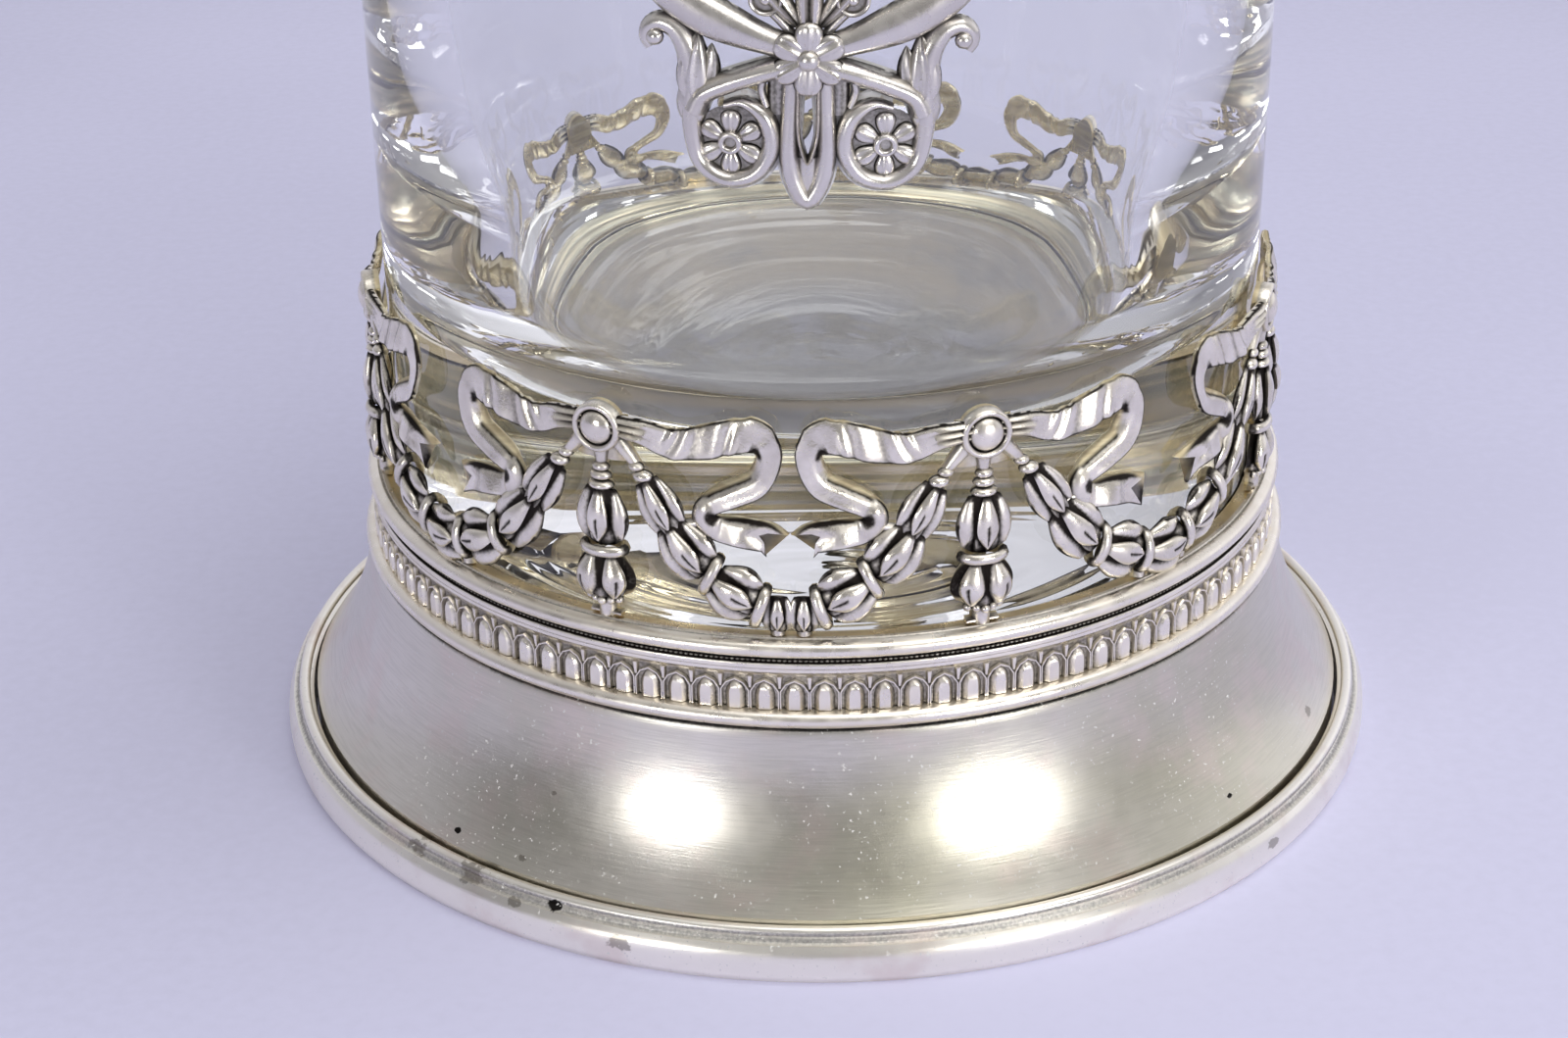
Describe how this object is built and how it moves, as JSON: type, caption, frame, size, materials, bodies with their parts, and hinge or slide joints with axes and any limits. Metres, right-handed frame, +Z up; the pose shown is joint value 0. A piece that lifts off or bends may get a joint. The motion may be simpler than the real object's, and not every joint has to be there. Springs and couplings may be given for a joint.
{
  "type": "glass with metal holder",
  "caption": "Thick clear glass beaker with a cast front ornament, standing in a silver-plated holder: flaring foot, tongue-moulded collar and a pierced gallery of bows, husk swags and drops.",
  "frame": {"origin": "centre of the foot's resting circle, on the table", "axes": "+Z up along the axis of foot and glass, -Y towards the front ornament and the gallery's seam, +X to the right seen from the front"},
  "size_m": [0.11, 0.11, 0.15],
  "materials": {
    "foot_plate": "worn silver plate, bright on the high points, dark in the recesses",
    "collar_plate": "worn silver plate, bright on the high points, dark in the recesses",
    "gallery_plate": "worn silver plate, bright on the high points, dark in the recesses",
    "ornament_plate": "soft satin silver plate, slightly darker in the hollows",
    "seat_metal": "dull unpolished sheet",
    "felt": "short matted grey felt",
    "clear_glass": "polished clear glass",
    "cement": "matt white jeweller's cement"
  },
  "bodies": {
    "holder": {"foot_rim": "foot_plate", "foot_shell": "foot_plate", "collar_wire": "collar_plate", "tongue_band": "collar_plate", "bead_wire": "collar_plate", "gallery_ring": "collar_plate", "gallery_strip": "gallery_plate", "seat_pan": "seat_metal"},
    "pad": {"seat_pad": "felt"},
    "glass": {"glass_beaker": "clear_glass", "ornament_cement": "cement", "front_ornament": "ornament_plate"}
  },
  "joints": [
    {"name": "glass_turn", "type": "hinge", "parent": "holder", "child": "pad", "pos_m": [0, 0, 0.0201], "axis": [0, 0, 1], "continuous": true},
    {"name": "glass_lift", "type": "slide", "parent": "pad", "child": "glass", "axis": [0, 0, 1], "range_m": [0, 0.06]}
  ]
}
